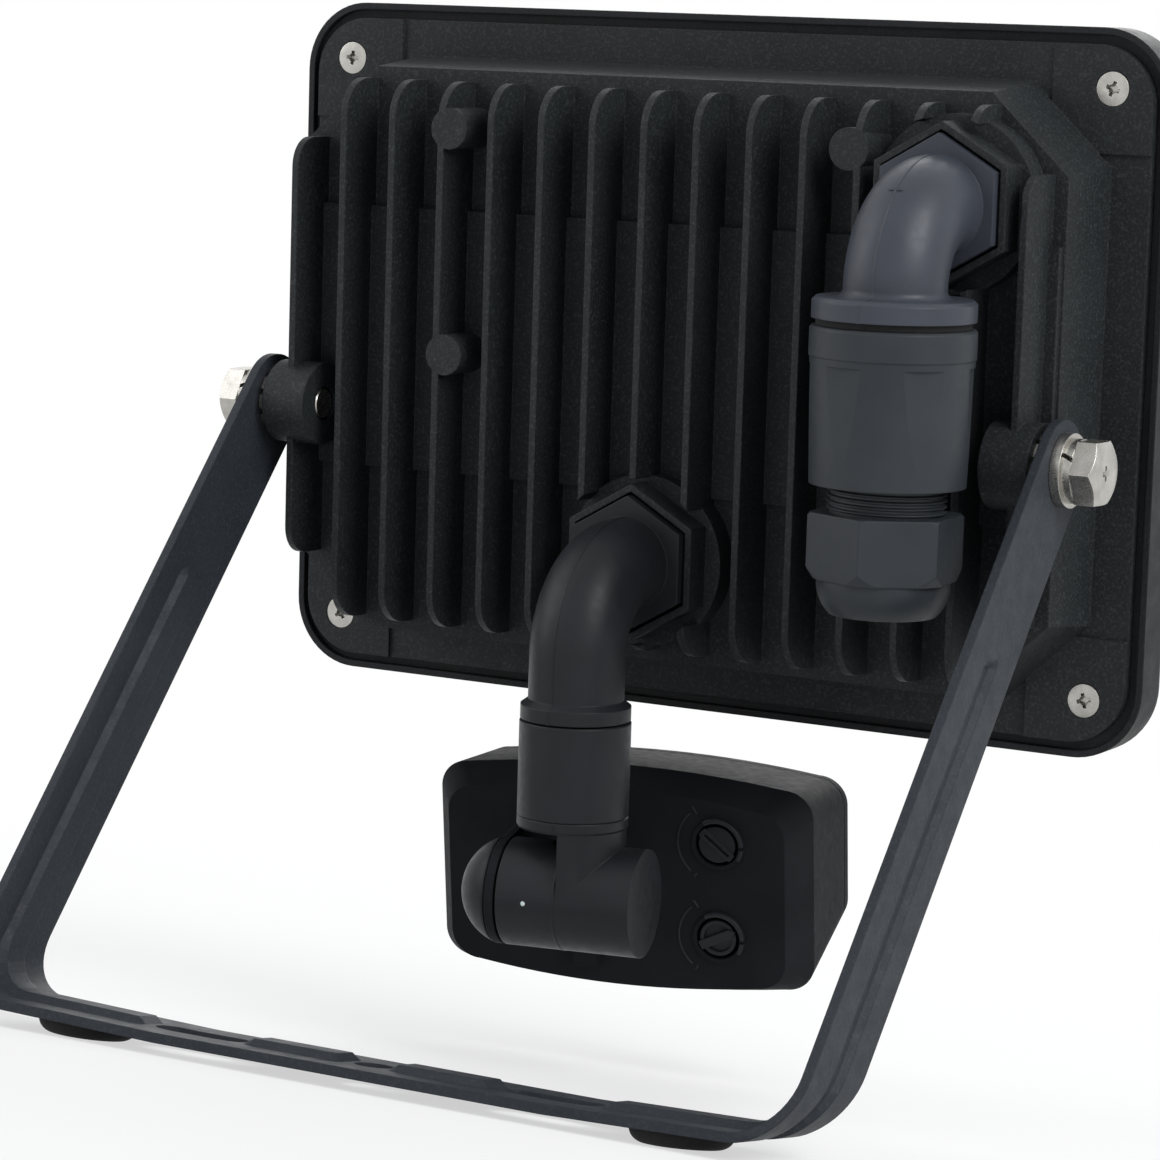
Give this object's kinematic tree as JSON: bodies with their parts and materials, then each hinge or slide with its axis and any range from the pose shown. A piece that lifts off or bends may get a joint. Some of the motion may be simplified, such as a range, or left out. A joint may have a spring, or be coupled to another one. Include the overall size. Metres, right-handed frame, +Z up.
{
  "type": "led floodlight with motion sensor",
  "caption": "LED floodlight with a finned cast housing on a U bracket, a cable elbow with a gland, and a motion sensor on a swivel arm below it",
  "frame": {"origin": "middle of the underside of the bracket's base, at the centre of its two fixing slots", "axes": "+Z up from the surface that the bracket is fixed to, -Y the way the light shines, X along the bracket's base"},
  "size_m": [0.166, 0.124, 0.182],
  "materials": {
    "bracket_paint": "dark grey satin powder coat on steel",
    "housing_paint": "near-black textured powder coat on cast aluminium",
    "frame_paint": "near-black satin powder coat on cast aluminium",
    "clear_glass": "clear toughened glass",
    "black_rubber": "matt black rubber",
    "white_silicone": "translucent white silicone",
    "board_white": "white solder mask on an aluminium board",
    "chip_yellow": "yellow phosphor over the chips",
    "part_black": "black moulded electronic packages",
    "reflector_silver": "bright folded aluminium sheet",
    "stainless": "bright stainless steel",
    "elbow_blue_grey": "blue-grey moulded nylon with a soft gloss",
    "connector_grey": "dark grey moulded nylon",
    "sensor_black": "near-black moulded plastic with a soft gloss",
    "terminal_white": "white nylon",
    "lens_white": "milky white lens plastic",
    "board_green": "green solder mask",
    "detector_metal": "nickel-plated can",
    "trimmer_blue": "blue moulded trimmer bodies",
    "brass_nut": "nickel-free brass"
  },
  "bodies": {
    "bracket": {"bracket": "bracket_paint", "foot_left": "black_rubber", "foot_right": "black_rubber"},
    "swivel": {"swivel_sleeve": "sensor_black", "knuckle_tee": "sensor_black"},
    "time_dial": {"time_dial": "sensor_black"},
    "light_dial": {"light_dial": "sensor_black"},
    "sensor": {"sensor_back": "sensor_black", "sensor_front": "sensor_black", "sensor_lens": "lens_white", "sensor_board": "board_green", "detector": "detector_metal", "trimmers": "trimmer_blue", "knuckle_pin": "stainless", "knuckle_cap": "sensor_black"},
    "lamp": {"front_frame": "frame_paint", "front_glass": "clear_glass", "glass_gasket": "white_silicone", "housing_gasket": "white_silicone", "rear_housing": "housing_paint", "corner_screws": "stainless", "led_board": "board_white", "led_chips": "chip_yellow", "driver_parts": "part_black", "board_screws": "stainless", "reflector": "reflector_silver", "pivot_bolts": "stainless", "flat_washers": "stainless", "spring_washers": "stainless", "toothed_washers": "stainless", "inlet_elbow": "elbow_blue_grey", "inlet_seal": "black_rubber", "inlet_lock_nut": "brass_nut", "connector_seal": "black_rubber", "connector_body": "connector_grey", "terminal_block": "terminal_white", "gland_nut": "connector_grey", "gland_seal": "black_rubber", "sensor_elbow": "sensor_black", "sensor_elbow_seal": "black_rubber", "sensor_lock_nut": "brass_nut"}
  },
  "joints": [
    {"name": "lamp_tilt", "type": "hinge", "parent": "bracket", "child": "lamp", "pos_m": [0, -0.062, 0.1064], "axis": [1, 0, 0], "range_deg": [-135, 50]},
    {"name": "sensor_swivel", "type": "hinge", "parent": "lamp", "child": "swivel", "pos_m": [0, -0.05556, 0.02828], "axis": [0, 0.184, 0.9829], "range_deg": [-60, 60]},
    {"name": "sensor_tilt", "type": "hinge", "parent": "swivel", "child": "sensor", "pos_m": [0, -0.05556, 0.02828], "axis": [0.9833, 0.1791, -0.0335], "range_deg": [-6, 25]},
    {"name": "time_turn", "type": "hinge", "parent": "sensor", "child": "time_dial", "pos_m": [-0.01406, -0.07908, 0.03913], "axis": [-0.18, 0.9258, -0.3324], "range_deg": [-135, 135]},
    {"name": "light_turn", "type": "hinge", "parent": "sensor", "child": "light_dial", "pos_m": [-0.01358, -0.0847, 0.0232], "axis": [-0.18, 0.9258, -0.3324], "range_deg": [-135, 135]}
  ]
}
